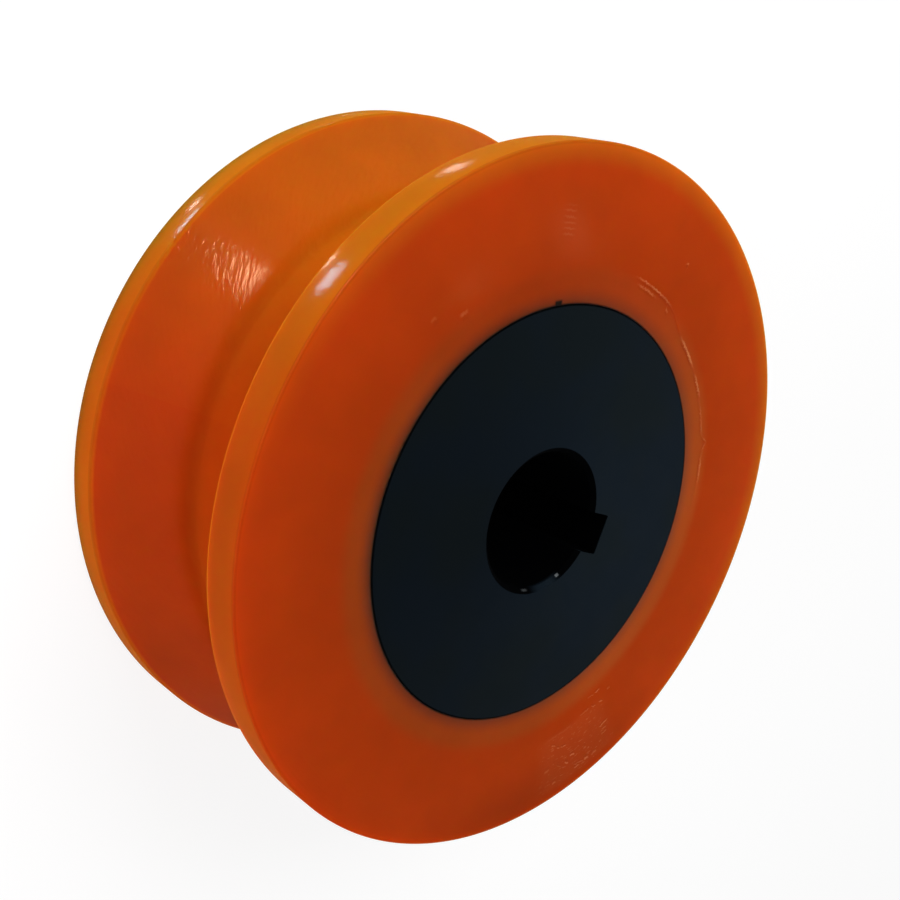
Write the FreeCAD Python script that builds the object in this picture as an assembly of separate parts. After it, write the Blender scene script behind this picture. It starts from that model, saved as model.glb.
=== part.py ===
import FreeCAD, Part
import math
import os

# Grooved drive roller: an orange polyurethane tyre cast and bonded round a blackened steel hub
# Millimetres. The Z axis is the bore axis, +Z leaves the face with the wider land.
# The origin is on the axis at mid width, and the keyway opens towards +X.

# Driving dimensions, whole roller
roller_width = 40.5
tyre_diameter = 100.0
hub_diameter = 60.0

# Driving dimensions, bore and keyway
bore_diameter = 20.0
bore_chamfer = 0.6
keyway_width = 6.0
keyway_depth = 3.5
keyway_corner_radius = 0.25

# Driving dimensions, groove round the rim
front_land = 5.7
rear_land = 4.6
groove_depth = 10.0
flank_angle = 45.0
root_radius = 2.5
rim_edge_radius = 0.4

# Levels and radii that follow from them
front_z = roller_width / 2
rear_z = -roller_width / 2
hub_radius = hub_diameter / 2
bore_radius = bore_diameter / 2
rim_radius = tyre_diameter / 2
groove_root_radius = rim_radius - groove_depth
flank_run = groove_depth / math.tan(math.radians(flank_angle))
groove_front_z = front_z - front_land
groove_rear_z = rear_z + rear_land

AXIS_POINT = FreeCAD.Vector(0, 0, 0)
AXIS = FreeCAD.Vector(0, 0, 1)
SLOT_DIRECTION = FreeCAD.Vector(1, 0, 0)


def section_point(radius, level):
    """A point of a half section, in the plane through the axis and +X."""
    return FreeCAD.Vector(radius, 0, level)


def rounded_section(corners):
    """A closed half section from (radius, level, corner radius), with tangent arcs at the corners."""
    points = [section_point(radius, level) for radius, level, _ in corners]
    starts = []
    ends = []
    middles = []
    for index, (_, _, corner_radius) in enumerate(corners):
        here = points[index]
        to_previous = (points[index - 1] - here).normalize()
        to_next = (points[(index + 1) % len(points)] - here).normalize()
        half_angle = to_previous.getAngle(to_next) / 2
        setback = corner_radius / math.tan(half_angle)
        bisector = (to_previous + to_next).normalize()
        starts.append(here + to_previous * setback)
        ends.append(here + to_next * setback)
        middles.append(here + bisector * (corner_radius / math.sin(half_angle) - corner_radius))
    edges = []
    for index, (_, _, corner_radius) in enumerate(corners):
        if corner_radius > 0:
            edges.append(Part.Arc(starts[index], middles[index], ends[index]).toShape())
        next_start = starts[(index + 1) % len(corners)]
        edges.append(Part.LineSegment(ends[index], next_start).toShape())
    return Part.Face(Part.Wire(edges))


def turned(section):
    """A full turn of a half section about the bore axis."""
    return section.revolve(AXIS_POINT, AXIS, 360)


def keyway_slot():
    """The broached slot: it starts on the axis and passes both faces."""
    slot_height = roller_width + 2 * bore_chamfer
    slot_reach = bore_radius + keyway_depth
    corner = FreeCAD.Vector(0, -keyway_width / 2, -slot_height / 2)
    slot = Part.makeBox(slot_reach, keyway_width, slot_height, corner)
    floor_edges = []
    for edge in slot.Edges:
        middle = edge.CenterOfMass
        on_floor = abs(middle.x - slot_reach) < 1e-6
        along_axis = abs(edge.BoundBox.ZLength - slot_height) < 1e-6
        if on_floor and along_axis:
            floor_edges.append(edge)
    return slot.makeFillet(keyway_corner_radius, floor_edges)


def hub():
    """The turned hub: a thick sleeve with both bore edges chamfered and one keyway broached through."""
    mouth_radius = bore_radius + bore_chamfer
    sleeve = turned(rounded_section([
        (mouth_radius, front_z, 0),
        (hub_radius, front_z, 0),
        (hub_radius, rear_z, 0),
        (mouth_radius, rear_z, 0),
        (bore_radius, rear_z + bore_chamfer, 0),
        (bore_radius, front_z - bore_chamfer, 0),
    ]))
    return sleeve.cut(keyway_slot())


def tyre():
    """The cast tyre, flush with the hub's faces, with a flat-bottomed groove turned round its rim."""
    return turned(rounded_section([
        (hub_radius, front_z, 0),
        (rim_radius, front_z, rim_edge_radius),
        (rim_radius, groove_front_z, rim_edge_radius),
        (groove_root_radius, groove_front_z - flank_run, root_radius),
        (groove_root_radius, groove_rear_z + flank_run, root_radius),
        (rim_radius, groove_rear_z, rim_edge_radius),
        (rim_radius, rear_z, rim_edge_radius),
        (hub_radius, rear_z, 0),
    ]))


pieces = {"hub": hub(), "tyre": tyre()}
os.makedirs("parts", exist_ok=True)
for name, shape in pieces.items():
    shape.exportStep(f"parts/{name}.step")
    box = shape.optimalBoundingBox(False)
    print(
        f"{name}: {shape.ShapeType}, {len(shape.Solids)} solid, valid {shape.isValid()}, "
        f"{shape.Volume:.0f} cubic mm, {box.XLength:.2f} x {box.YLength:.2f} x {box.ZLength:.2f} mm"
    )
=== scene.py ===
# %% [markdown]
# A grooved drive roller: an orange polyurethane tyre, cast and bonded round a blackened steel hub.
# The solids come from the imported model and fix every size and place. Here each of the two pieces gets a
# finely rounded mesh and a finish of its own, in metres and in the same frame as the solids.
# The Z axis is the bore axis. The roller stands on its rear face, and the keyway opens towards +X.

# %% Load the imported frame
import math

import bmesh
import bpy
from mathutils import Matrix, Vector


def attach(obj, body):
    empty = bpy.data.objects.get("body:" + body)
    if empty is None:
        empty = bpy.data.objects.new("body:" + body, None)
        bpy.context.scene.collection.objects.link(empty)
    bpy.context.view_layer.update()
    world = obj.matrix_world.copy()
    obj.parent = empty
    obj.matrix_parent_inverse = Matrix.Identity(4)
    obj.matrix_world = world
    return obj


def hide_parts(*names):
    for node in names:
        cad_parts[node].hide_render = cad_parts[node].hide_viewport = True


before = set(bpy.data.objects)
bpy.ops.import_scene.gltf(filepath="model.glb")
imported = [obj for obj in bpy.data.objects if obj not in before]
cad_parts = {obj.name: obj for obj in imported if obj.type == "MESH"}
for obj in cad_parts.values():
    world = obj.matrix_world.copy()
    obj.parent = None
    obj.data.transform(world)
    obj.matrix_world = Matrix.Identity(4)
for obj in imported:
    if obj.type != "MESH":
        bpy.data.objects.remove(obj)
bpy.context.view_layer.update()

print("nodes in the frame:", sorted(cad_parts))

# %% [markdown]
# Every size below is a real size of the roller in millimetres, and MM turns it into Blender's metres.
# The two faces lie at equal distances from the origin, so the levels follow from the width.

# %% Sizes of the roller
MM = 0.001
FACE = 20.25
HUB_RADIUS = 30.0
RIM_RADIUS = 50.0
ROOT_RADIUS = 40.0
GROOVE_TOP = 14.55
GROOVE_BOTTOM = -15.65
ROOT_TOP = 4.55
ROOT_BOTTOM = -5.65
BORE_RADIUS = 10.0
BORE_CHAMFER = 0.6
KEYWAY_WIDTH = 6.0
KEYWAY_FLOOR = 13.5
RING_RADIUS = 34.6

# %% [markdown]
# Both pieces are bodies of revolution, so both start as half a section in the plane through the axis.
# The section is one face with a few corners. A vertex bevel rounds a corner: it cuts the corner back
# along both edges, and for a tangent arc that setback is the radius times the tangent of half the turn.

# %% Helpers for a half section
def section_face(bm, corners):
    """One face in the XZ plane from (radius, level) corners in millimetres. Returns its vertices."""
    verts = [bm.verts.new((radius * MM, 0.0, level * MM)) for radius, level in corners]
    bm.faces.new(verts)
    return verts


def round_corner(bm, vert, radius, segments):
    """Rounds one corner of the section with a tangent arc of that radius in millimetres."""
    first, second = [edge.other_vert(vert).co - vert.co for edge in vert.link_edges]
    turn = math.pi - first.angle(second)
    bmesh.ops.bevel(
        bm, geom=[vert], offset=radius * MM * math.tan(turn / 2), offset_type="OFFSET",
        segments=segments, profile=0.5, affect="VERTICES", material=-1,
    )


# %% [markdown]
# The spin operator sweeps the section round the axis. With use_merge the last copy joins the first one,
# so a full turn leaves no seam. The section's own face goes first, or it would stay inside as a wall.
# The turn can come out inside out, so the normals are worked out again once the shell is closed.

# %% Helper for a full turn
def full_turn(bm, steps):
    """Spins the section's outline once round the Z axis and closes it."""
    bmesh.ops.delete(bm, geom=bm.faces[:], context="FACES_ONLY")
    bmesh.ops.spin(
        bm, geom=bm.verts[:] + bm.edges[:], cent=(0, 0, 0), axis=(0, 0, 1), dvec=(0, 0, 0),
        angle=math.tau, steps=steps, use_merge=True, use_duplicate=False,
    )
    bmesh.ops.remove_doubles(bm, verts=bm.verts[:], dist=0.001 * MM)
    bmesh.ops.recalc_face_normals(bm, faces=bm.faces[:])


# %% [markdown]
# A finished bmesh becomes an object at the origin. Curved walls are shaded smooth, and edges that turn
# by more than thirty degrees stay crisp. Then the piece takes the place of its solid: it rides on the
# roller's one body and hides the plain node.

# %% Helper that turns a bmesh into a piece
def finish_piece(bm, name, node):
    """Makes the object, shades it, and lets it stand for a node of the frame."""
    mesh = bpy.data.meshes.new(name)
    bm.to_mesh(mesh)
    bm.free()
    mesh.shade_smooth()
    mesh.set_sharp_from_angle(angle=math.radians(30))
    piece = bpy.data.objects.new(name, mesh)
    bpy.context.scene.collection.objects.link(piece)
    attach(piece, "root")
    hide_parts(node)
    print(name, "has", len(mesh.vertices), "vertices and", len(mesh.polygons), "faces")
    return piece


# %% [markdown]
# The tyre was cast round the hub and turned afterwards: both faces, two narrow lands and the wide groove
# between them, with sloping flanks and a flat root. Where the facing tool stopped short of the hub it
# left a ring round the steel that lies a touch lower. A second pair of corners makes that low step.

# %% Section of the tyre
STEP_DEPTH = 0.12
STEP_RUN = 0.14
STEP_MARGIN = 0.15
tyre_bm = bmesh.new()
ring_level = FACE - STEP_DEPTH
tyre_corners = section_face(tyre_bm, [
    (HUB_RADIUS, ring_level),
    (RING_RADIUS - STEP_RUN - STEP_MARGIN, ring_level),
    (RING_RADIUS - STEP_RUN, ring_level),
    (RING_RADIUS, FACE),
    (RING_RADIUS + STEP_MARGIN, FACE),
    (RIM_RADIUS, FACE),
    (RIM_RADIUS, GROOVE_TOP),
    (ROOT_RADIUS, ROOT_TOP),
    (ROOT_RADIUS, ROOT_BOTTOM),
    (RIM_RADIUS, GROOVE_BOTTOM),
    (RIM_RADIUS, -FACE),
    (HUB_RADIUS, -FACE),
])
front_rim, front_lip, front_root, rear_root, rear_lip, rear_rim = tyre_corners[5:11]
ROOT_ARC, LIP_ARC, RIM_ARC = 2.5, 0.4, 0.2
for corners, arc, segments in (
    ((front_root, rear_root), ROOT_ARC, 6),
    ((front_lip, rear_lip), LIP_ARC, 3),
    ((front_rim, rear_rim), RIM_ARC, 4),
):
    for corner in corners:
        round_corner(tyre_bm, corner, arc, segments)
print("corners of the tyre's section after rounding:", len(tyre_bm.verts))

# %% Turn the tyre
TYRE_STEPS = 288
full_turn(tyre_bm, TYRE_STEPS)
print("faces of the tyre:", len(tyre_bm.faces))

# %% [markdown]
# The low step isn't even. The facing tool wandered by a few tenths of a millimetre on one side and left a
# crisp wall there, and on the other side the step fades out softly. So each vertex of the ring is moved
# a little, by how far round the roller it lies.

# %% Uneven step
STEP_EDGE = (
    (5.0, 34.3), (18.0, 33.9), (27.0, 33.9), (30.0, 34.9), (32.5, 33.75), (42.0, 33.75), (44.0, 33.85),
    (64.0, 33.8), (70.0, 34.8), (73.0, 35.15), (88.0, 35.15), (96.0, 34.6),
)
SOFT_RUN = 1.6


def edge_radius(degrees):
    """Radius of the step's upper edge at an angle in degrees, in millimetres."""
    for (start, first), (end, second) in zip(STEP_EDGE, STEP_EDGE[1:]):
        if start <= degrees < end:
            return first + (second - first) * (degrees - start) / (end - start)
    return RING_RADIUS


def crispness(degrees):
    """1 where the step's wall is crisp, near 50 degrees, and 0 on the far side."""
    return max(0.0, min(1.0, (60.0 - abs(degrees - 50.0)) / 30.0))


for vert in tyre_bm.verts:
    radius = vert.co.xy.length / MM
    on_front_face = vert.co.z / MM > FACE - 2 * STEP_DEPTH
    if not on_front_face or not HUB_RADIUS + 1 < radius < RING_RADIUS + 2 * STEP_MARGIN:
        continue
    degrees = math.degrees(math.atan2(vert.co.y, vert.co.x))
    crisp = crispness(degrees)
    inside_step = radius < RING_RADIUS - STEP_RUN / 2
    moved = radius + edge_radius(degrees) - RING_RADIUS - inside_step * SOFT_RUN * (1 - crisp)
    vert.co.xy = vert.co.xy * (moved / radius)
    if inside_step:
        vert.co.z = (FACE - STEP_DEPTH * (0.25 + 0.75 * crisp)) * MM
tyre = finish_piece(tyre_bm, "cast_tyre", "tyre")

# %% [markdown]
# The hub is a thick steel sleeve. Both ends of its bore have a small chamfer, which leads the shaft in,
# and its outer edges are broken by a fifth of a millimetre, which leaves a thin dark line beside the tyre.

# %% Sleeve of the hub
EDGE_BREAK = 0.2
HUB_STEPS = 192
hub_bm = bmesh.new()
section_face(hub_bm, [
    (BORE_RADIUS + BORE_CHAMFER, FACE),
    (HUB_RADIUS - EDGE_BREAK, FACE),
    (HUB_RADIUS, FACE - EDGE_BREAK),
    (HUB_RADIUS, -FACE + EDGE_BREAK),
    (HUB_RADIUS - EDGE_BREAK, -FACE),
    (BORE_RADIUS + BORE_CHAMFER, -FACE),
    (BORE_RADIUS, -FACE + BORE_CHAMFER),
    (BORE_RADIUS, FACE - BORE_CHAMFER),
])
full_turn(hub_bm, HUB_STEPS)
print("faces of the sleeve:", len(hub_bm.faces))

# %% [markdown]
# The real keyway is broached: a toothed bar is pulled through the bore and leaves a square slot. Three
# flat cuts draw the slot's outline on the sleeve, and the faces inside that outline are taken away.
# That leaves one open border, and two new corner edges split it into the slot's two walls and its floor.

# %% Broach the keyway
def slot_faces(bm, margin):
    """Faces of the sleeve whose middle lies in the slot, grown by a margin in millimetres."""
    found = []
    for face in bm.faces:
        middle = face.calc_center_median() / MM
        if 0 < middle.x < KEYWAY_FLOOR + margin and abs(middle.y) < KEYWAY_WIDTH / 2 + margin:
            found.append(face)
    return found


half_width = KEYWAY_WIDTH / 2
for place, normal in (
    ((0, half_width, 0), (0, 1, 0)),
    ((0, -half_width, 0), (0, 1, 0)),
    ((KEYWAY_FLOOR, 0, 0), (1, 0, 0)),
):
    faces = slot_faces(hub_bm, 12)
    around = {edge for face in faces for edge in face.edges} | {vert for face in faces for vert in face.verts}
    bmesh.ops.bisect_plane(
        hub_bm, geom=faces + list(around), dist=0.0001 * MM,
        plane_co=Vector(place) * MM, plane_no=normal, clear_inner=False, clear_outer=False,
    )
bmesh.ops.delete(hub_bm, geom=slot_faces(hub_bm, 0), context="FACES")
border = [edge for edge in hub_bm.edges if edge.is_boundary]
print("edges round the open slot:", len(border))

# %% Walls and floor of the keyway
KEYWAY_CORNER = 0.25
floor_corners = {}
for vert in {vert for edge in border for vert in edge.verts}:
    if abs(vert.co.x / MM - KEYWAY_FLOOR) < 0.001 and abs(abs(vert.co.y / MM) - half_width) < 0.001:
        floor_corners.setdefault(vert.co.y > 0, []).append(vert)
corner_edges = [hub_bm.edges.new(pair) for pair in floor_corners.values()]


def in_plane(edges, axis, place):
    """Edges that lie in the plane where that axis has that value in millimetres."""
    return [edge for edge in edges if all(abs(vert.co[axis] / MM - place) < 0.001 for vert in edge.verts)]


for axis, place in ((1, half_width), (1, -half_width), (0, KEYWAY_FLOOR)):
    bmesh.ops.contextual_create(hub_bm, geom=in_plane(border + corner_edges, axis, place))
bmesh.ops.recalc_face_normals(hub_bm, faces=hub_bm.faces[:])
bmesh.ops.bevel(
    hub_bm, geom=corner_edges, offset=KEYWAY_CORNER * MM, offset_type="OFFSET",
    segments=3, profile=0.5, affect="EDGES", material=-1,
)
open_edges = sum(1 for edge in hub_bm.edges if not edge.is_manifold)
print("open edges left on the hub:", open_edges)
hub = finish_piece(hub_bm, "steel_hub", "hub")

# %% [markdown]
# Materials are node trees. These small helpers place a node, set its plain inputs and link the rest, so
# that each step below reads as one line. Links come in as sockets, and plain values as numbers.

# %% Helpers for node trees
def place_node(tree, kind, inputs=None, **settings):
    """Adds a node, sets its properties, and feeds its inputs with values or links."""
    node = tree.nodes.new(kind)
    for key, value in settings.items():
        setattr(node, key, value)
    for key, value in (inputs or {}).items():
        if isinstance(value, bpy.types.NodeSocket):
            tree.links.new(value, node.inputs[key])
        else:
            node.inputs[key].default_value = value
    return node


def calculate(tree, operation, *values, clamp=False):
    """One math node. Returns its output."""
    inputs = dict(enumerate(values))
    return place_node(tree, "ShaderNodeMath", inputs, operation=operation, use_clamp=clamp).outputs[0]


def fade(tree, value, start, end, low=0.0, high=1.0):
    """A smooth ramp from low to high while the value goes from start to end."""
    node = place_node(
        tree, "ShaderNodeMapRange",
        {"Value": value, "From Min": start, "From Max": end, "To Min": low, "To Max": high},
        interpolation_type="SMOOTHSTEP",
    )
    return node.outputs["Result"]


def blend_colour(tree, share, first, second, mode="MIX"):
    """Mixes two colours by a share. Returns the colour."""
    node = place_node(tree, "ShaderNodeMix", data_type="RGBA", blend_type=mode)
    for socket, value in ((node.inputs[0], share), (node.inputs[6], first), (node.inputs[7], second)):
        if isinstance(value, bpy.types.NodeSocket):
            tree.links.new(value, socket)
        else:
            socket.default_value = value
    return node.outputs[2]


def noise(tree, vector, scale, detail=2.0, roughness=0.5):
    """A noise value between 0 and 1."""
    inputs = {"Vector": vector, "Scale": scale, "Detail": detail, "Roughness": roughness}
    return place_node(tree, "ShaderNodeTexNoise", inputs).outputs["Fac"]


def window(tree, value, start, end, soft):
    """A mask that is 1 between start and end, with soft sides."""
    rise = fade(tree, value, start, start + soft)
    fall = fade(tree, value, end, end - soft)
    return calculate(tree, "MULTIPLY", rise, fall)


def side_value(tree, angle_in, centre):
    """1 on the side of the roller at that angle in degrees, -1 on the opposite side."""
    off_centre = calculate(tree, "RADIANS", calculate(tree, "SUBTRACT", angle_in, centre))
    return calculate(tree, "COSINE", off_centre)


def scaled(tree, value, mask, amount):
    """A value that is raised by amount where the mask is 1, and stays as it is where the mask is 0."""
    return calculate(tree, "MULTIPLY", value, calculate(tree, "MULTIPLY_ADD", mask, amount, 1.0))


def new_group(name, inputs, outputs):
    """A node group with named sockets. Returns it with its input and output nodes."""
    tree = bpy.data.node_groups.new(name, "ShaderNodeTree")
    for socket_name, kind, value in inputs:
        socket = tree.interface.new_socket(socket_name, in_out="INPUT", socket_type=kind)
        if value is not None:
            socket.default_value = value
    for socket_name, kind in outputs:
        tree.interface.new_socket(socket_name, in_out="OUTPUT", socket_type=kind)
    return tree, tree.nodes.new("NodeGroupInput").outputs, tree.nodes.new("NodeGroupOutput").inputs


def use_group(tree, group, inputs):
    """Places a group in a tree. Returns its outputs."""
    node = tree.nodes.new("ShaderNodeGroup")
    node.node_tree = group
    for key, value in inputs.items():
        if isinstance(value, bpy.types.NodeSocket):
            tree.links.new(value, node.inputs[key])
        else:
            node.inputs[key].default_value = value
    return node.outputs


# %% [markdown]
# Nearly every mark on a turned part follows the turning, so the useful coordinates are the distance from
# the axis, the level along it and the angle round it. This group works them out from Object
# coordinates, in millimetres and degrees. Both materials use it.

# %% Group: place on the turned part
FLOAT, VECTOR = "NodeSocketFloat", "NodeSocketVector"
turned_place, inside, out = new_group(
    "turned_place", [("Position", VECTOR, None)],
    [("Radius", FLOAT), ("Level", FLOAT), ("Angle", FLOAT)],
)
axes = place_node(turned_place, "ShaderNodeSeparateXYZ", {"Vector": inside["Position"]}).outputs
flat = place_node(turned_place, "ShaderNodeCombineXYZ", {"X": axes["X"], "Y": axes["Y"]}).outputs[0]
reach = place_node(turned_place, "ShaderNodeVectorMath", {0: flat}, operation="LENGTH").outputs["Value"]
turn = calculate(turned_place, "ARCTAN2", axes["Y"], axes["X"])
turned_place.links.new(calculate(turned_place, "MULTIPLY", reach, 1 / MM), out["Radius"])
turned_place.links.new(calculate(turned_place, "MULTIPLY", axes["Z"], 1 / MM), out["Level"])
turned_place.links.new(calculate(turned_place, "DEGREES", turn), out["Angle"])
print("group made:", turned_place.name)

# %% [markdown]
# A lathe tool leaves fine rings at the pitch of its feed. On the real part they are too fine to see one
# by one, but they spread a lamp's reflection into a streak across them. The group is a noise that
# changes fast with radius and level and very slowly round the part, so it can go over faces, lands
# and flanks alike. Its second output is a slower noise, for patches where the marks are stronger.

# %% Group: turning marks
turning_marks, inside, out = new_group(
    "turning_marks",
    [("Radius", FLOAT, 0.0), ("Level", FLOAT, 0.0), ("Angle", FLOAT, 0.0), ("Pitch", FLOAT, 0.3),
     ("Unevenness", FLOAT, 0.3)],
    [("Height", FLOAT), ("Patches", FLOAT)],
)
per_mm = calculate(turning_marks, "DIVIDE", 1.0, inside["Pitch"])
across = calculate(turning_marks, "MULTIPLY", inside["Radius"], per_mm)
along = calculate(turning_marks, "MULTIPLY", inside["Level"], per_mm)
round_part = calculate(turning_marks, "MULTIPLY", inside["Angle"], 0.03)
line_place = place_node(
    turning_marks, "ShaderNodeCombineXYZ", {"X": across, "Y": along, "Z": round_part}
).outputs[0]
lines = noise(turning_marks, line_place, 1.0, 2.0, 0.65)
patch_place = place_node(turning_marks, "ShaderNodeCombineXYZ", {
    "X": calculate(turning_marks, "MULTIPLY", inside["Radius"], 0.22),
    "Y": calculate(turning_marks, "MULTIPLY", inside["Level"], 0.22),
    "Z": calculate(turning_marks, "MULTIPLY", inside["Angle"], 0.09),
}).outputs[0]
patches = noise(turning_marks, patch_place, 1.0, 1.0, 0.5)
strength = calculate(
    turning_marks, "ADD", 1.0,
    calculate(turning_marks, "MULTIPLY", inside["Unevenness"],
              calculate(turning_marks, "SUBTRACT", patches, 0.5)),
)
turning_marks.links.new(calculate(turning_marks, "MULTIPLY", lines, strength), out["Height"])
turning_marks.links.new(patches, out["Patches"])
print("group made:", turning_marks.name)

# %% [markdown]
# A piece's colour is never quite even. This group makes soft clouds at any size from Object coordinates:
# one value, about a half on average, that the materials use to shift colour and gloss a little.

# %% Group: clouds
clouds, inside, out = new_group(
    "clouds", [("Position", VECTOR, None), ("Size", FLOAT, 10.0)], [("Value", FLOAT)],
)
per_metre = calculate(clouds, "DIVIDE", 1 / MM, inside["Size"])
clouds.links.new(noise(clouds, inside["Position"], per_metre, 2.0, 0.55), out["Value"])
print("group made:", clouds.name)

# %% [markdown]
# Cast polyurethane is translucent. Light enters, scatters and comes out again a few millimetres away,
# most of all the red, so broad surfaces look deep orange and thin edges look paler and more yellow.
# Subsurface scattering gives that glow, and the same glow is also painted into the colour as painted light,
# so that a program without scattering shows it too. The scatter distance is longest for red and shortest for
# blue.
#
# The masks below say where on the tyre a point lies: on a face, on a land, in the groove, near the hub or
# on a rim edge. The side round 115 degrees faces the key light, and its lands and groove are painted more
# amber: painted light. The ring by the hub is made redder round 105 degrees.

# %% Material: polyurethane, places and masks
polyurethane = bpy.data.materials.new("orange_polyurethane")
polyurethane.use_nodes = True
pu = polyurethane.node_tree
pu.nodes.clear()
pu_position = place_node(pu, "ShaderNodeTexCoord").outputs["Object"]
pu_place = use_group(pu, turned_place, {"Position": pu_position})
radius, level, angle = pu_place["Radius"], pu_place["Level"], pu_place["Angle"]
height_off_middle = calculate(pu, "ABSOLUTE", level)
on_faces = fade(pu, height_off_middle, FACE - 0.35, FACE - 0.2)
rim_glow = calculate(pu, "MULTIPLY", on_faces, fade(pu, radius, 46.4, 50.0))
off_faces = calculate(pu, "SUBTRACT", 1.0, on_faces)
on_lands = calculate(pu, "MULTIPLY", fade(pu, radius, 49.4, 49.8), off_faces)
in_groove = calculate(pu, "MULTIPLY", fade(pu, radius, 49.9, 49.5), off_faces)
ring_tone = calculate(pu, "MULTIPLY", on_faces, fade(pu, radius, 35.8, 33.2))
near_hub = calculate(pu, "MULTIPLY", on_faces, fade(pu, radius, HUB_RADIUS + 2.6, HUB_RADIUS - 0.4))
near_rim = fade(pu, radius, RIM_RADIUS - 0.5, RIM_RADIUS - 0.25)
near_edges = fade(pu, height_off_middle, FACE - 0.5, FACE - 0.2)
LIP_BANDS = (
    (GROOVE_TOP - 0.35, GROOVE_TOP + 0.5),
    (GROOVE_BOTTOM - 0.5, GROOVE_BOTTOM + 0.35),
)
for first_level, last_level in LIP_BANDS:
    lip_band = window(pu, level, first_level, last_level, 0.3)
    near_edges = calculate(pu, "MAXIMUM", near_edges, lip_band)
edge_line = calculate(pu, "MULTIPLY", near_rim, near_edges)
bond_line = fade(pu, radius, HUB_RADIUS + 0.3, HUB_RADIUS)
# Painted light: the side round 115 degrees faces the key light and is painted more amber below.
RIGHT_ANGLE, LIT_ANGLE = 20.0, 115.0
right_side = side_value(pu, angle, RIGHT_ANGLE)
off_top = calculate(pu, "ABSOLUTE", calculate(pu, "SUBTRACT", angle, LIT_ANGLE))
lit_side = fade(pu, off_top, 75.0, 10.0)
print("polyurethane masks placed")

# %% Material: polyurethane, colour
DEEP_ORANGE = (0.430, 0.040, 0.0025, 1)
AMBER = (0.490, 0.128, 0.003, 1)
RIM_AMBER = (0.385, 0.102, 0.004, 1)
RING_LEFT = (0.370, 0.056, 0.007, 1)
RING_RIGHT = (0.425, 0.076, 0.012, 1)
HUB_SHADE_LEFT = (0.185, 0.032, 0.014, 1)
HUB_SHADE_RIGHT = (0.245, 0.057, 0.021, 1)
REDDER = (1.0, 0.72, 0.66, 1)
cloud = use_group(pu, clouds, {"Position": pu_position, "Size": 14.0})["Value"]
small_cloud = use_group(pu, clouds, {"Position": pu_position, "Size": 3.0})["Value"]
# Painted light: lands and groove get amber, most on the lit side and on the rear land, for light glowing
# through the polyurethane.
lit_land = fade(pu, off_top, 80.0, 30.0)
land_base = fade(pu, level, 0.0, -10.0, 0.29, 0.50)
land_share = calculate(pu, "MULTIPLY", on_lands, calculate(pu, "MAXIMUM", lit_land, land_base))
groove_share = calculate(pu, "MULTIPLY", in_groove, calculate(pu, "MULTIPLY_ADD", lit_side, 0.60, 0.02))
colour = blend_colour(pu, calculate(pu, "MAXIMUM", land_share, groove_share), DEEP_ORANGE, AMBER)
# Painted glow: the faces turn paler and more yellow near the rim, most round 75 degrees, for light scattered
# through the thin rim.
rim_share = calculate(pu, "MULTIPLY", rim_glow, fade(pu, side_value(pu, angle, 75.0), -0.6, 0.9, 0.05, 0.85))
colour = blend_colour(pu, rim_share, colour, RIM_AMBER)
ring_colour = blend_colour(pu, fade(pu, right_side, -0.3, 0.9), RING_LEFT, RING_RIGHT)
colour = blend_colour(pu, calculate(pu, "MULTIPLY", ring_tone, 0.9), colour, ring_colour)
# Painted shade: the face darkens towards the hub, where light in the polyurethane is lost in the black steel;
# darker away from 20 degrees.
hub_shade_colour = blend_colour(pu, fade(pu, right_side, -0.9, 0.9), HUB_SHADE_LEFT, HUB_SHADE_RIGHT)
colour = blend_colour(pu, near_hub, colour, hub_shade_colour)
red_share = calculate(pu, "MULTIPLY", ring_tone, fade(pu, side_value(pu, angle, 105.0), 0.4, 1.0))
colour = blend_colour(pu, red_share, colour, REDDER, "MULTIPLY")
print("polyurethane colours placed")

# %% [markdown]
# The shade is one factor for the whole colour. Two sizes of cloud vary it at random. The rest is painted
# light
# and shade: the faces get lighter towards the rim and towards 30 degrees, the deeper groove lighter and its
# root darker, most on the unlit side, the rear land lighter than the front one, and the side round -62
# degrees, the rim edges and the faces round 70 degrees darker.

# %% Material: polyurethane, lighter and darker parts
shade = fade(pu, cloud, 0.3, 0.7, 0.95, 1.05)
shade = calculate(pu, "MULTIPLY", shade, fade(pu, small_cloud, 0.3, 0.7, 0.985, 1.015))
# Painted light: the faces are lighter towards the rim and towards 30 degrees.
face_lift = calculate(
    pu, "MULTIPLY_ADD", side_value(pu, angle, 30.0), 0.05, fade(pu, radius, 33.0, 47.0, -0.05, 0.11)
)
shade = scaled(pu, shade, on_faces, face_lift)
# Painted light and shade: the deeper groove is lighter, and its root darker, most on the unlit side.
shade = scaled(pu, shade, in_groove, fade(pu, radius, 41.0, 49.0, 0.15, 0.0))
root_tone = calculate(pu, "MULTIPLY_ADD", lit_side, 0.10, -0.13)
shade = scaled(pu, shade, calculate(pu, "MULTIPLY", in_groove, fade(pu, radius, 42.5, 40.2)), root_tone)
# Painted light: the rear land is lighter than the front one.
shade = scaled(pu, shade, on_lands, fade(pu, level, 0.0, -10.0, -0.06, 0.04))
# Painted shade: darker round -62 degrees, at the rim edges and on the faces round 70 degrees.
low_side = fade(pu, side_value(pu, angle, -62.0), 0.8, 1.0)
shade = scaled(pu, shade, calculate(pu, "MULTIPLY", low_side, fade(pu, radius, 38.0, 49.0)), -0.27)
shade = scaled(pu, shade, edge_line, -0.18)
upper_right = fade(pu, side_value(pu, angle, 70.0), 0.5, 1.0)
shade = scaled(pu, shade, calculate(pu, "MULTIPLY", upper_right, on_faces), -0.07)
tone = place_node(pu, "ShaderNodeCombineXYZ", {"X": shade, "Y": shade, "Z": shade}).outputs[0]
colour = blend_colour(pu, 1.0, colour, tone, "MULTIPLY")
print("polyurethane shades placed")

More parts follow.
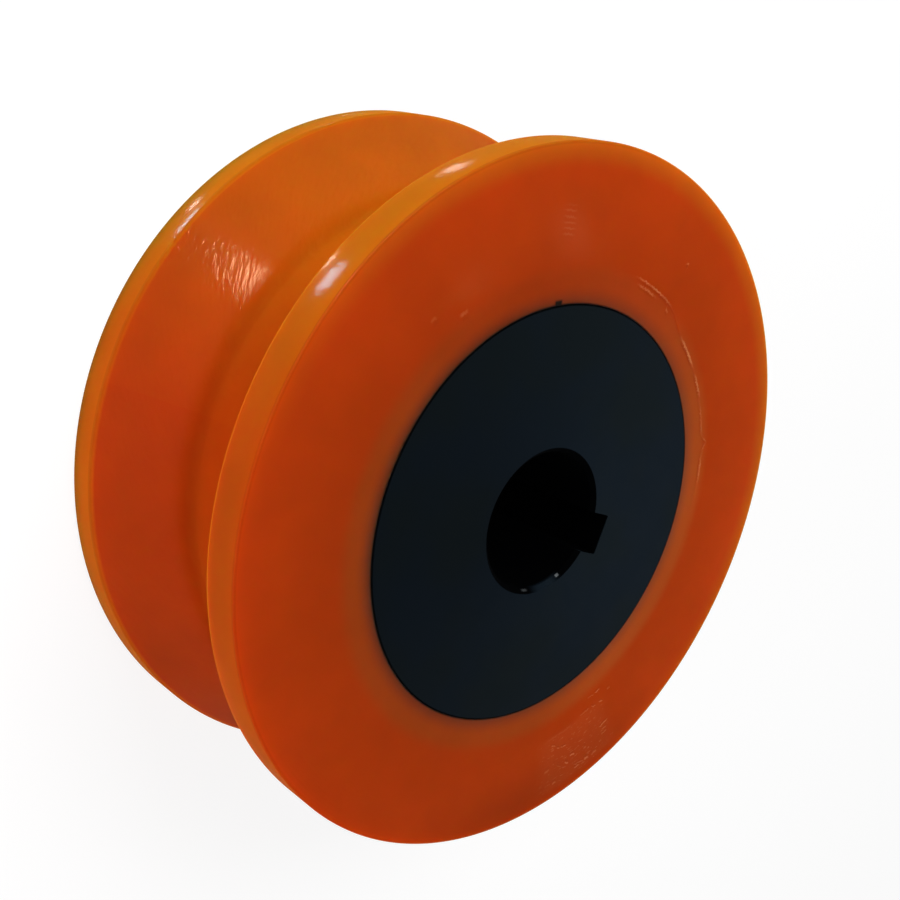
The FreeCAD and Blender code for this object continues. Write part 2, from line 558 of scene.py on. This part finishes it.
# %% [markdown]
# Handling and the facing tool have left marks. Along the step's edge runs a broken burr, and near the rim
# on one side lies a patch of short scratches, which follow the turning. The burr's pale line is a painted
# highlight on the step's edge, the pale scratches are partly their own paler colour and partly painted
# highlight, and each stroke has a painted shadow just inside it. The marks are placed in rows: a
# row is one colour ramp over the angle, whose three channels hold the strength, the radius and the
# half width of each stroke, so a few nodes draw many strokes. A little noise on the radius makes them ragged.

# %% Helper for a row of strokes
BASE_RADIUS, RADIUS_SPAN, WIDTH_SPAN = 30.0, 20.0, 0.65


def stroke_row(tree, radius_in, angle_in, first_angle, last_angle, strokes):
    """Draws strokes of (start, end, first radius, last radius, half width, strength). Two masks: the strokes
    and a painted shadow just inside each.
    """
    along = calculate(tree, "SUBTRACT", angle_in, first_angle)
    along = calculate(tree, "DIVIDE", along, last_angle - first_angle, clamp=True)
    ramp = place_node(tree, "ShaderNodeValToRGB", {"Fac": along})
    stops = ramp.color_ramp.elements
    stops[0].color = stops[1].color = (0, 0, 0, 1)
    for start, end, first, last, half_width, strength in strokes:
        soft = 0.25 * (end - start)
        for at, reach_at, share in (
            (start, first, 0.0), (start + soft, first + 0.25 * (last - first), strength),
            (end - soft, last - 0.25 * (last - first), strength), (end, last, 0.0),
        ):
            stop = stops.new((at - first_angle) / (last_angle - first_angle))
            stop.color = (share, (reach_at - BASE_RADIUS) / RADIUS_SPAN, half_width / WIDTH_SPAN, 1)
    parts = place_node(tree, "ShaderNodeSeparateColor", {"Color": ramp.outputs["Color"]}).outputs
    line = calculate(tree, "MULTIPLY_ADD", parts["Green"], RADIUS_SPAN, BASE_RADIUS)
    off_line = calculate(tree, "SUBTRACT", radius_in, line)
    width = calculate(tree, "MULTIPLY", parts["Blue"], WIDTH_SPAN)
    core = calculate(tree, "MULTIPLY", width, 0.3)
    bright = fade(tree, calculate(tree, "ABSOLUTE", off_line), width, core)
    below = calculate(tree, "ABSOLUTE", calculate(tree, "MULTIPLY_ADD", width, 1.9, off_line))
    dark = fade(tree, below, width, core)
    return [calculate(tree, "MULTIPLY", mask, parts["Red"]) for mask in (bright, dark)]


# %% Material: polyurethane, burr and scratches
MARK_ROWS = (
    (10.0, 95.0, (
        (19.0, 27.2, 33.90, 33.95, 0.18, 0.6), (28.2, 30.0, 34.1, 34.9, 0.16, 0.5),
        (30.2, 31.8, 34.9, 34.1, 0.16, 0.45), (32.5, 42.0, 33.75, 33.80, 0.14, 0.35),
        (43.8, 51.2, 33.85, 33.85, 0.18, 0.7), (52.8, 64.0, 33.80, 33.80, 0.20, 0.9),
        (72.4, 88.6, 35.20, 35.20, 0.17, 0.7),
    )),
    (70.0, 150.0, (
        (72.4, 74.0, 34.2, 34.3, 0.20, 0.5), (74.5, 75.4, 41.1, 41.1, 0.20, 0.8),
        (78.6, 87.0, 34.4, 34.4, 0.18, 0.6), (138.9, 141.4, 35.2, 35.3, 0.35, 0.35),
        (145.8, 147.6, 37.6, 37.6, 0.30, 0.25),
    )),
    (-66.0, -36.0, (
        (-62.0, -50.5, 38.2, 38.3, 0.30, 0.20), (-49.8, -45.9, 37.8, 37.8, 0.20, 0.35),
        (-45.7, -44.1, 37.9, 38.5, 0.18, 0.7), (-43.2, -41.8, 38.2, 38.9, 0.20, 0.7),
        (-39.8, -38.6, 37.5, 37.5, 0.25, 0.35),
    )),
    (-66.0, -36.0, (
        (-59.4, -57.9, 39.6, 40.2, 0.15, 0.7), (-57.8, -56.8, 40.6, 41.0, 0.17, 0.8),
        (-56.7, -54.7, 41.1, 41.3, 0.15, 0.9), (-46.2, -43.7, 35.7, 36.0, 0.13, 0.45),
        (-43.6, -41.6, 36.0, 36.0, 0.15, 0.85),
    )),
    (-66.0, -36.0, (
        (-61.8, -59.9, 44.0, 44.0, 0.30, 0.35), (-58.2, -56.8, 43.9, 44.9, 0.15, 0.5),
        (-54.3, -52.7, 43.9, 44.3, 0.25, 0.9), (-45.2, -42.1, 43.2, 43.2, 0.16, 0.9),
    )),
    (-66.0, -36.0, (
        (-55.8, -54.7, 44.6, 45.2, 0.25, 0.9), (-53.8, -50.4, 46.3, 47.0, 0.16, 0.5),
        (-50.3, -49.3, 44.7, 44.7, 0.30, 0.45), (-45.0, -42.9, 44.1, 44.2, 0.13, 0.6),
    )),
    (-66.0, -36.0, (
        (-59.6, -58.4, 47.2, 47.2, 0.25, 0.5), (-53.6, -51.8, 47.1, 47.2, 0.20, 0.7),
        (-50.7, -49.2, 47.0, 47.1, 0.30, 0.8), (-48.8, -46.9, 47.2, 47.2, 0.25, 0.5),
        (-45.1, -43.2, 45.0, 45.0, 0.13, 0.6),
    )),
)
wobble_place = place_node(pu, "ShaderNodeCombineXYZ", {
    "X": calculate(pu, "MULTIPLY", radius, 0.8), "Z": calculate(pu, "MULTIPLY", angle, 1.6),
}).outputs[0]
wobble = noise(pu, wobble_place, 1.0, 2.0, 0.6)
ragged_radius = calculate(pu, "MULTIPLY_ADD", calculate(pu, "SUBTRACT", wobble, 0.5), 0.7, radius)
# Pale strokes: paler scratches partly, painted highlights partly. Dark strokes: painted shadows just inside
# each stroke.
marks_and_highlights, stroke_shadows = 0.0, 0.0
for first_angle, last_angle, strokes in MARK_ROWS:
    bright, dark = stroke_row(pu, ragged_radius, angle, first_angle, last_angle, strokes)
    marks_and_highlights = calculate(pu, "MAXIMUM", marks_and_highlights, bright)
    stroke_shadows = calculate(pu, "MAXIMUM", stroke_shadows, dark)
print("rows of strokes:", len(MARK_ROWS))

# %% [markdown]
# Between the single scratches the patch is covered with finer ones, whose pale dashes are partly painted
# glints. A noise that is stretched along the angle gives such dashes, and a mask keeps them in their place.
# Near the top a short stack of painted highlights marks a lamp's glint on fine rings that the facing tool
# left, and a nick at the hub's edge lets the dark bond show.

# %% Material: polyurethane, fine dashes, ripples and nick
# Pale: scratches with painted highlights and glints. Dark: dark dashes and the strokes' painted shadows.
PALE_SCRATCH_HIGHLIGHT = (0.660, 0.230, 0.085, 1)
DARK_DASH_SHADOW = (0.200, 0.020, 0.004, 1)
BLACK_LINE = (0.012, 0.008, 0.006, 1)
dash_place = place_node(pu, "ShaderNodeCombineXYZ", {
    "X": calculate(pu, "MULTIPLY", radius, 2.8), "Z": calculate(pu, "MULTIPLY", angle, 0.6),
}).outputs[0]
dash_noise = noise(pu, dash_place, 1.0, 3.0, 0.6)
patch = calculate(pu, "MULTIPLY", window(pu, angle, -65.0, -40.0, 5.0), window(pu, radius, 37.2, 48.8, 1.4))
patch = calculate(pu, "MULTIPLY", patch, on_faces)
# Painted glints, partly the pale fine scratches themselves.
fine_scratch_glints = calculate(pu, "MULTIPLY", fade(pu, dash_noise, 0.56, 0.70), patch)
fine_dark = calculate(pu, "MULTIPLY", fade(pu, dash_noise, 0.42, 0.30), patch)
# Painted highlight: glints of a lamp on a short stack of fine rings near the top.
ripple_slant = calculate(pu, "MULTIPLY_ADD", angle, -0.10, ragged_radius)
ripple_glints = calculate(pu, "PINGPONG", ripple_slant, 0.36)
ripple_glints = calculate(pu, "MULTIPLY", fade(pu, ripple_glints, 0.15, 0.33), window(pu, angle, 109.4, 113.6, 1.6))
ripple_glints = calculate(pu, "MULTIPLY", ripple_glints, window(pu, radius, 38.2, 42.8, 0.8))
broken = fade(pu, dash_noise, 0.30, 0.60, 0.3, 1.0)
bright_share = calculate(pu, "MULTIPLY", calculate(pu, "MULTIPLY", marks_and_highlights, broken), 0.80)
for mask, share in ((fine_scratch_glints, 0.40), (patch, 0.06), (ripple_glints, 0.12)):
    bright_share = calculate(pu, "MAXIMUM", bright_share, calculate(pu, "MULTIPLY", mask, share))
bright_share = calculate(pu, "MULTIPLY", bright_share, on_faces)
dark_share = calculate(pu, "MAXIMUM", stroke_shadows, calculate(pu, "MULTIPLY", fine_dark, 0.5))
dark_share = calculate(pu, "MULTIPLY", calculate(pu, "MULTIPLY", dark_share, 0.45), on_faces)
colour = blend_colour(pu, dark_share, colour, DARK_DASH_SHADOW)
colour = blend_colour(pu, bright_share, colour, PALE_SCRATCH_HIGHLIGHT)
NICK_ANGLE, NICK_RADIUS = 112.7, 30.9
nick_off = calculate(pu, "ABSOLUTE", calculate(pu, "SUBTRACT", angle, NICK_ANGLE))
nick_reach = fade(pu, radius, NICK_RADIUS, NICK_RADIUS - 0.4)
nick = calculate(pu, "MULTIPLY", fade(pu, nick_off, 1.6, 0.8), nick_reach)
nick = calculate(pu, "MULTIPLY", nick, on_faces)
colour = blend_colour(pu, calculate(pu, "MAXIMUM", bond_line, nick), colour, BLACK_LINE)
print("fine dashes, ripples and nick placed")

# %% [markdown]
# The tool chattered in the groove and on the rear land and left short slanted ridges. Their height is a
# noise in two turned coordinates, one along the ridges and one across, and a bump makes relief of it. The
# turned skin is only faintly glossy, so the gloss is a thin coat with a small weight, which is nearly
# gone on the ring by the hub and in the root of the groove, and is stronger on the flanks.

# %% Material: polyurethane, relief and gloss
pu_marks = use_group(pu, turning_marks, {
    "Radius": radius, "Level": level, "Angle": angle, "Pitch": 0.35, "Unevenness": 0.8,
})
ridge_place = place_node(pu, "ShaderNodeCombineXYZ", {
    "X": calculate(pu, "MULTIPLY_ADD", angle, -0.30, calculate(pu, "MULTIPLY", radius, 0.31)),
    "Y": calculate(pu, "MULTIPLY_ADD", angle, 0.56, calculate(pu, "MULTIPLY", radius, 1.70)),
    "Z": calculate(pu, "MULTIPLY", level, 0.5),
}).outputs[0]
ridges = noise(pu, ridge_place, 1.0, 2.0, 0.5)
rear_land = calculate(pu, "MULTIPLY", on_lands, fade(pu, level, -14.0, -16.0))
chatter = calculate(pu, "MULTIPLY", ridges, calculate(pu, "MULTIPLY_ADD", rear_land, 2.0, in_groove))
relief = calculate(pu, "MULTIPLY_ADD", chatter, 4.0, pu_marks["Height"])
pu_bump = place_node(
    pu, "ShaderNodeBump", {"Height": relief, "Strength": 0.35, "Distance": 0.05 * MM}
).outputs["Normal"]
gloss = fade(pu, pu_marks["Patches"], 0.3, 0.7, 0.30, 0.38)
for mask, more in ((ring_tone, 0.15), (patch, 0.12), (in_groove, 0.03)):
    gloss = calculate(pu, "MULTIPLY_ADD", mask, more, gloss)
COAT_MOST, COAT_LEAST = 0.036, 0.029
sheen = fade(pu, pu_marks["Patches"], 0.3, 0.7, COAT_MOST, COAT_LEAST)
sheen = scaled(pu, sheen, calculate(pu, "MAXIMUM", ring_tone, patch), -0.6)
sheen = scaled(pu, sheen, calculate(pu, "MULTIPLY", in_groove, fade(pu, radius, 41.0, 42.2, -1.0, 1.2)), 1.0)
print("polyurethane relief and gloss placed")

# %% [markdown]
# The coat has a relief of its own: finer slanted ridges, strongest in the groove, weaker on the lands
# and faint on the faces. They break a lamp's reflection into short dashes, as on the flank of the real
# roller. Their coordinates are worked out here and not by the group, so that only plain nodes of this
# material feed the coat's normal.

# %% Material: polyurethane, relief of the coat
skin_axes = place_node(pu, "ShaderNodeSeparateXYZ", {"Vector": pu_position}).outputs
skin_flat = place_node(pu, "ShaderNodeCombineXYZ", {"X": skin_axes["X"], "Y": skin_axes["Y"]}).outputs[0]
skin_reach = place_node(pu, "ShaderNodeVectorMath", {0: skin_flat}, operation="LENGTH").outputs["Value"]
skin_radius = calculate(pu, "MULTIPLY", skin_reach, 1 / MM)
skin_level = calculate(pu, "MULTIPLY", skin_axes["Z"], 1 / MM)
skin_angle = calculate(pu, "DEGREES", calculate(pu, "ARCTAN2", skin_axes["Y"], skin_axes["X"]))
skin_place = place_node(pu, "ShaderNodeCombineXYZ", {
    "X": calculate(pu, "MULTIPLY_ADD", skin_angle, -0.45, calculate(pu, "MULTIPLY", skin_radius, 0.46)),
    "Y": calculate(pu, "MULTIPLY_ADD", skin_angle, 0.84, calculate(pu, "MULTIPLY", skin_radius, 2.55)),
    "Z": calculate(pu, "MULTIPLY", skin_level, 0.5),
}).outputs[0]
skin_depth = calculate(
    pu, "MULTIPLY", fade(pu, skin_radius, 49.9, 49.5, 1.2, 2.1),
    fade(pu, calculate(pu, "ABSOLUTE", skin_level), FACE - 0.3, FACE - 0.1, 1.0, 0.2),
)
skin_bump = place_node(pu, "ShaderNodeBump", {
    "Height": calculate(pu, "MULTIPLY", noise(pu, skin_place, 1.0, 2.0, 0.5), skin_depth),
    "Strength": 0.35, "Distance": 0.05 * MM,
}).outputs["Normal"]

# %% Material: polyurethane, shader
pu_shader = place_node(pu, "ShaderNodeBsdfPrincipled", {
    "Base Color": colour, "Roughness": gloss, "Normal": pu_bump, "IOR": 1.5, "Specular IOR Level": 0.0,
    "Coat Weight": sheen, "Coat Roughness": 0.11, "Coat IOR": 1.5, "Coat Normal": skin_bump,
    "Subsurface Weight": 1.0, "Subsurface Scale": 1.0 * MM,
    "Subsurface Radius": (9.0, 2.5, 0.8), "Subsurface Anisotropy": 0.0,
})
place_node(pu, "ShaderNodeOutputMaterial", {"Surface": pu_shader.outputs[0]})
tyre.data.materials.append(polyurethane)
print("tyre finished with", polyurethane.name)

# %% [markdown]
# The hub's steel is blackened: an oxide bath turns its skin almost black, a little blue or green where
# the bath worked unevenly. It stays satin. Its colour is painted lighter towards 10 degrees, a painted
# reflection. The walls of the bore and the keyway, most of the chamfer and the outer edge get painted
# shade, nearly black. On the chamfer two spots of bare steel are partly wear and partly a painted glint.

# %% Material: blackened steel
blackened = bpy.data.materials.new("blackened_steel")
blackened.use_nodes = True
st = blackened.node_tree
st.nodes.clear()
st_position = place_node(st, "ShaderNodeTexCoord").outputs["Object"]
st_place = use_group(st, turned_place, {"Position": st_position})
BLUE_BLACK = (0.0046, 0.0080, 0.0122, 1)
GREEN_BLACK = (0.0050, 0.0080, 0.0098, 1)
SHADE_BLACK = (0.0002, 0.0002, 0.0003, 1)
BARE_STEEL = (0.22, 0.24, 0.25, 1)
st_cloud = use_group(st, clouds, {"Position": st_position, "Size": 16.0})["Value"]
st_colour = blend_colour(st, fade(st, st_cloud, 0.35, 0.65), BLUE_BLACK, GREEN_BLACK)
off_face = calculate(st, "SUBTRACT", FACE, calculate(st, "ABSOLUTE", st_place["Level"]))
# Painted reflection: the hub is lighter towards 10 degrees.
hub_side_reflection = calculate(st, "MULTIPLY_ADD", side_value(st, st_place["Angle"], 10.0), 0.30, 1.0)
hub_side_reflection = place_node(st, "ShaderNodeCombineXYZ", {"X": hub_side_reflection, "Y": hub_side_reflection, "Z": hub_side_reflection}).outputs[0]
st_colour = blend_colour(st, 1.0, st_colour, hub_side_reflection, "MULTIPLY")
# Painted shade: the bore and keyway walls, most of the chamfer and the outer edge are nearly black.
inner_walls = calculate(
    st, "MULTIPLY", fade(st, off_face, 0.5, 1.2), fade(st, st_place["Radius"], HUB_RADIUS - 1, HUB_RADIUS - 2)
)
keyway_walls = calculate(
    st, "MULTIPLY", fade(st, off_face, 0.03, 0.20), window(st, st_place["Radius"], 11.2, 14.2, 0.3)
)
inner_walls = calculate(st, "MAXIMUM", inner_walls, keyway_walls)
lip = fade(st, st_place["Radius"], 10.75, 10.6)
lit_lip = calculate(st, "MULTIPLY", window(st, st_place["Angle"], -78.0, -40.0, 14.0), -1.0)
shaded_lip = calculate(st, "MULTIPLY", lip, calculate(st, "ADD", 1.0, lit_lip))
outer_edge = fade(st, st_place["Radius"], HUB_RADIUS - 0.3, HUB_RADIUS - 0.1)
shaded_parts = calculate(st, "MAXIMUM", inner_walls, calculate(st, "MAXIMUM", shaded_lip, outer_edge))
st_colour = blend_colour(st, shaded_parts, st_colour, SHADE_BLACK)
# Partly wear, partly painted glint: two spots of bare steel on the chamfer.
bright_spot = window(st, st_place["Angle"], -46.8, -42.0, 1.8)
dull_spot = calculate(st, "MULTIPLY", window(st, st_place["Angle"], -86.0, -77.0, 4.0), 0.3)
rubbed_glint = calculate(st, "MULTIPLY", calculate(st, "MAXIMUM", bright_spot, dull_spot), calculate(
    st, "MULTIPLY", lip, window(st, off_face, 0.20, 0.58, 0.12)))
st_colour = blend_colour(st, calculate(st, "MULTIPLY", rubbed_glint, 0.6), st_colour, BARE_STEEL)
print("steel colour placed")

# %% Material: blackened steel, relief and gloss
st_marks = use_group(st, turning_marks, {
    "Radius": st_place["Radius"], "Level": st_place["Level"], "Angle": st_place["Angle"],
    "Pitch": 0.2, "Unevenness": 0.5,
})
st_bump = place_node(
    st, "ShaderNodeBump", {"Height": st_marks["Height"], "Strength": 0.25, "Distance": 0.02 * MM}
).outputs["Normal"]
st_gloss = fade(st, st_marks["Patches"], 0.3, 0.7, 0.42, 0.52)
st_gloss = calculate(st, "MULTIPLY_ADD", shaded_parts, 0.4, st_gloss)
st_shader = place_node(st, "ShaderNodeBsdfPrincipled", {
    "Base Color": st_colour, "Roughness": st_gloss, "Metallic": rubbed_glint, "Normal": st_bump,
    "Specular IOR Level": 0.013, "Specular Tint": (0.7, 0.88, 1.0, 1),
})
place_node(st, "ShaderNodeOutputMaterial", {"Surface": st_shader.outputs[0]})
hub.data.materials.append(blackened)
print("hub finished with", blackened.name)

# %% [markdown]
# The roller stands on a plain white floor. For lamps the floor is a matt white sheet. For the camera part
# of its white is its own light, so the background comes out even and white, and the shadow round the
# roller stays, only fainter. In the photograph the roller lay on its rim, and lamps reached its lands
# from directions that are below this floor. So the floor casts no shadow itself, and reflections pass
# through it and show the sky, which is just as white.

# %% Floor
FLOOR_HALF = 3.0
floor_bm = bmesh.new()
bmesh.ops.create_grid(floor_bm, x_segments=1, y_segments=1, size=FLOOR_HALF)
bmesh.ops.translate(floor_bm, verts=floor_bm.verts[:], vec=(0, 0, -FACE * MM))
floor_mesh = bpy.data.meshes.new("floor")
floor_bm.to_mesh(floor_mesh)
floor_bm.free()
floor = bpy.data.objects.new("floor", floor_mesh)
bpy.context.scene.collection.objects.link(floor)
floor.visible_shadow = False
floor.visible_glossy = False
paper = bpy.data.materials.new("white_paper")
paper.use_nodes = True
pt = paper.node_tree
pt.nodes.clear()
rays = place_node(pt, "ShaderNodeLightPath").outputs
seen = calculate(pt, "MAXIMUM", rays["Is Camera Ray"], calculate(
    pt, "MAXIMUM", rays["Is Glossy Ray"], rays["Is Transmission Ray"]))
PAPER_WHITE, FAINT_GREY, PAPER_GLOW = (0.8, 0.8, 0.8, 1), (0.22, 0.22, 0.22, 1), 0.84
matt = place_node(pt, "ShaderNodeBsdfDiffuse", {"Color": PAPER_WHITE}).outputs[0]
faint = place_node(pt, "ShaderNodeBsdfDiffuse", {"Color": FAINT_GREY}).outputs[0]
white = place_node(pt, "ShaderNodeEmission", {"Color": (1, 1, 1, 1), "Strength": PAPER_GLOW}).outputs[0]
shown = place_node(pt, "ShaderNodeAddShader", {0: faint, 1: white}).outputs[0]
sheet = place_node(pt, "ShaderNodeMixShader", {0: seen, 1: matt, 2: shown}).outputs[0]
place_node(pt, "ShaderNodeOutputMaterial", {"Surface": sheet})
floor_mesh.materials.append(paper)
print("floor at", -FACE * MM)

# %% [markdown]
# Light: a pale sky does most of the work. The camera and reflections see it evenly white, and as light
# it is weaker on one side, as in a room with windows on the other. A broad soft lamp stands over the
# roller on the +Y side, and two weak fills light its flanks. Small lamps add the glints. They stand where
# a mirror on the land, flank or face would show them to the camera, and light the tyre's gloss only.

# %% Sky and lamps
world = bpy.data.worlds.new("pale_room")
bpy.context.scene.world = world
world.use_nodes = True
sky = world.node_tree
view_way = place_node(sky, "ShaderNodeTexCoord").outputs["Generated"]
DARK_WAY = Vector((0.80, -0.20, 0.56)).normalized()
towards_dark = place_node(
    sky, "ShaderNodeVectorMath", {0: view_way, 1: DARK_WAY}, operation="DOT_PRODUCT"
).outputs["Value"]
BRIGHT_SKY, DIM_SKY = 0.55, 0.15
sky_light = fade(sky, towards_dark, 0.0, 0.95, BRIGHT_SKY, DIM_SKY)
sky_rays = place_node(sky, "ShaderNodeLightPath").outputs
sky_seen = calculate(sky, "MAXIMUM", sky_rays["Is Camera Ray"], calculate(
    sky, "MAXIMUM", sky_rays["Is Glossy Ray"], sky_rays["Is Transmission Ray"]))
sky_strength = calculate(sky, "MAXIMUM", sky_light, sky_seen)
sky.nodes["Background"].inputs["Color"].default_value = (1, 1, 1, 1)
sky.links.new(sky_strength, sky.nodes["Background"].inputs["Strength"])


def soft_lamp(name, place, width, power, colour=(1, 1, 1)):
    """A square lamp in metres and watts that points at the roller."""
    light = bpy.data.lights.new(name, "AREA")
    light.shape = "SQUARE"
    light.size = width
    light.energy = power
    light.color = colour
    lamp = bpy.data.objects.new(name, light)
    lamp.location = place
    lamp.rotation_mode = "QUATERNION"
    lamp.rotation_quaternion = (-Vector(place)).to_track_quat("-Z", "Y")
    bpy.context.scene.collection.objects.link(lamp)
    return lamp


def strip_lamp(name, one_end, other_end, width, power, colour):
    """A long narrow lamp between two points in metres. It faces the roller."""
    strip = soft_lamp(name, (one_end + other_end) / 2, width, power, colour)
    strip.data.shape = "RECTANGLE"
    strip.data.size_y = (one_end - other_end).length
    away = strip.location.normalized()
    along = (one_end - other_end).normalized()
    across = along.cross(away).normalized()
    strip.rotation_quaternion = Matrix((across, away.cross(across), away)).transposed().to_quaternion()
    return strip


# %% Broad lamps
soft_lamp("key_softbox", (-0.10, 0.23, 0.32), 0.22, 0.93)
soft_lamp("low_fill", (-0.95, -0.25, 0.17), 0.5, 3.5).visible_glossy = False
soft_lamp("far_fill", (0.80, 0.10, -0.14), 0.24, 1.0).visible_glossy = False

# %% Small lamps for the glints
tyre_only = bpy.data.collections.new("tyre_only")
tyre_only.objects.link(tyre)


def only_in_gloss(lamp):
    """Keeps a lamp to the reflections of the tyre."""
    lamp.visible_diffuse = False
    lamp.light_linking.receiver_collection = tyre_only


COOL, WARM, ORANGE = (0.42, 0.76, 0.90), (1.0, 0.88, 0.75), (1.0, 0.65, 0.35)
for name, place, width, power, tint in (
    ("left_glint", (-0.343, 0.408, -0.617), 0.09, 5.2, COOL),
    ("top_glint", (0.147, 0.542, -0.577), 0.06, 1.0, WARM),
    ("rear_glint", (-0.218, 0.397, -0.704), 0.05, 1.40, WARM),
    ("rear_top_glint", (0.334, 0.367, -0.657), 0.03, 0.05, WARM),
):
    only_in_gloss(soft_lamp(name, place, width, power, tint))
for name, place, other_end, width, power in (
    ("flank_strip", (-0.528, 0.495, 0.407), (-0.575, 0.513, 0.331), 0.13, 8.5),
    ("face_strip_right", (0.818, 0.281, 0.849), (0.859, 0.175, 0.832), 0.012, 0.24),
    ("face_strip_left", (0.750, 0.150, 0.918), (0.787, 0.095, 0.894), 0.012, 0.10),
):
    only_in_gloss(strip_lamp(name, Vector(place), Vector(other_end), width, power, ORANGE))

# %% [markdown]
# The camera stands where the photographer stood. The roller lay on its rim then, so in this standing
# frame the camera is tilted to one side. The picture was cropped from a larger one: the lens shift
# puts the crop where it was.

# %% Camera
CAMERA_PLACE = Vector((-130.979, 17.548, 128.828)) * MM
LOOKS_ALONG = Vector((0.70868, -0.18518, -0.68080)).normalized()
UP_IN_PICTURE = Vector((-0.09868, 0.92944, -0.35553))
right = LOOKS_ALONG.cross(UP_IN_PICTURE).normalized()
up = right.cross(LOOKS_ALONG)
lens = bpy.data.cameras.new("camera")
FRAME_PIXELS, CROP_RIGHT, CROP_UP = 900, 25, 140
lens.sensor_width = 36.0
lens.lens = 49.097
lens.shift_x = CROP_RIGHT / FRAME_PIXELS
lens.shift_y = CROP_UP / FRAME_PIXELS
lens.clip_start = 0.005
camera = bpy.data.objects.new("camera", lens)
turned = Matrix((right, up, -LOOKS_ALONG)).transposed().to_4x4()
camera.matrix_world = Matrix.Translation(CAMERA_PLACE) @ turned
bpy.context.scene.collection.objects.link(camera)
bpy.context.scene.camera = camera
bpy.context.scene.view_settings.view_transform = "Standard"
print("camera at", list(camera.location))
